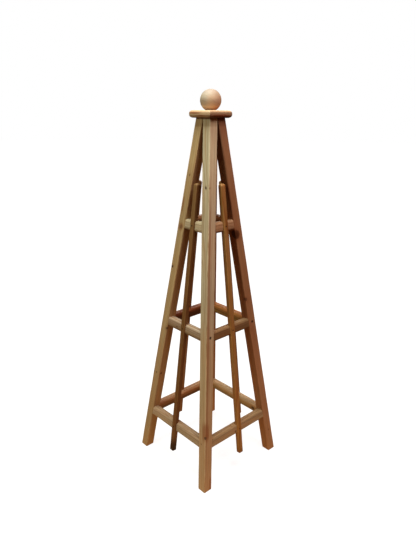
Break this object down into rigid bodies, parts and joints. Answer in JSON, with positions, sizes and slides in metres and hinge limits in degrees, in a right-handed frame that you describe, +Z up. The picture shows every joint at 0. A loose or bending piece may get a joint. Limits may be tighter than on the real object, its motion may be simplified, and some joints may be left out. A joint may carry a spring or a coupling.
{
  "type": "garden obelisk",
  "caption": "Tapering square timber frame of leaning legs, rails and slats under a bullnosed cap with a ball finial, for climbing plants.",
  "frame": {"origin": "on the ground, at the centre of the square base", "axes": "+Z up through the ball finial, -Y out of the front side, +X out of the right side"},
  "size_m": [0.5036, 0.5036, 1.7885],
  "materials": {
    "leg_timber": "planed softwood, oiled, satin",
    "rail_timber": "planed softwood with rounded edges, satin",
    "slat_timber": "planed softwood, satin",
    "cap_timber": "planed softwood with bullnosed edges, satin",
    "ball_timber": "turned softwood, smooth satin",
    "dowel_wood": "plain hardwood dowel rod",
    "steel_screw": "plated steel"
  },
  "bodies": {
    "root": {"leg_front_left": "leg_timber", "leg_front_right": "leg_timber", "leg_back_right": "leg_timber", "leg_back_left": "leg_timber", "lower_rail_front": "rail_timber", "lower_rail_right": "rail_timber", "lower_rail_back": "rail_timber", "lower_rail_left": "rail_timber", "middle_rail_front": "rail_timber", "middle_rail_right": "rail_timber", "middle_rail_back": "rail_timber", "middle_rail_left": "rail_timber", "upper_rail_front": "rail_timber", "upper_rail_right": "rail_timber", "upper_rail_back": "rail_timber", "upper_rail_left": "rail_timber", "slat_front": "slat_timber", "slat_right": "slat_timber", "slat_back": "slat_timber", "slat_left": "slat_timber", "cap_plate": "cap_timber", "ball_finial": "ball_timber", "finial_dowel_screw": "steel_screw", "middle_rail_screws": "steel_screw", "slat_screws": "steel_screw", "cap_screws": "steel_screw", "lower_rail_dowels": "dowel_wood", "middle_rail_dowels": "dowel_wood", "upper_rail_dowels": "dowel_wood"}
  },
  "joints": []
}
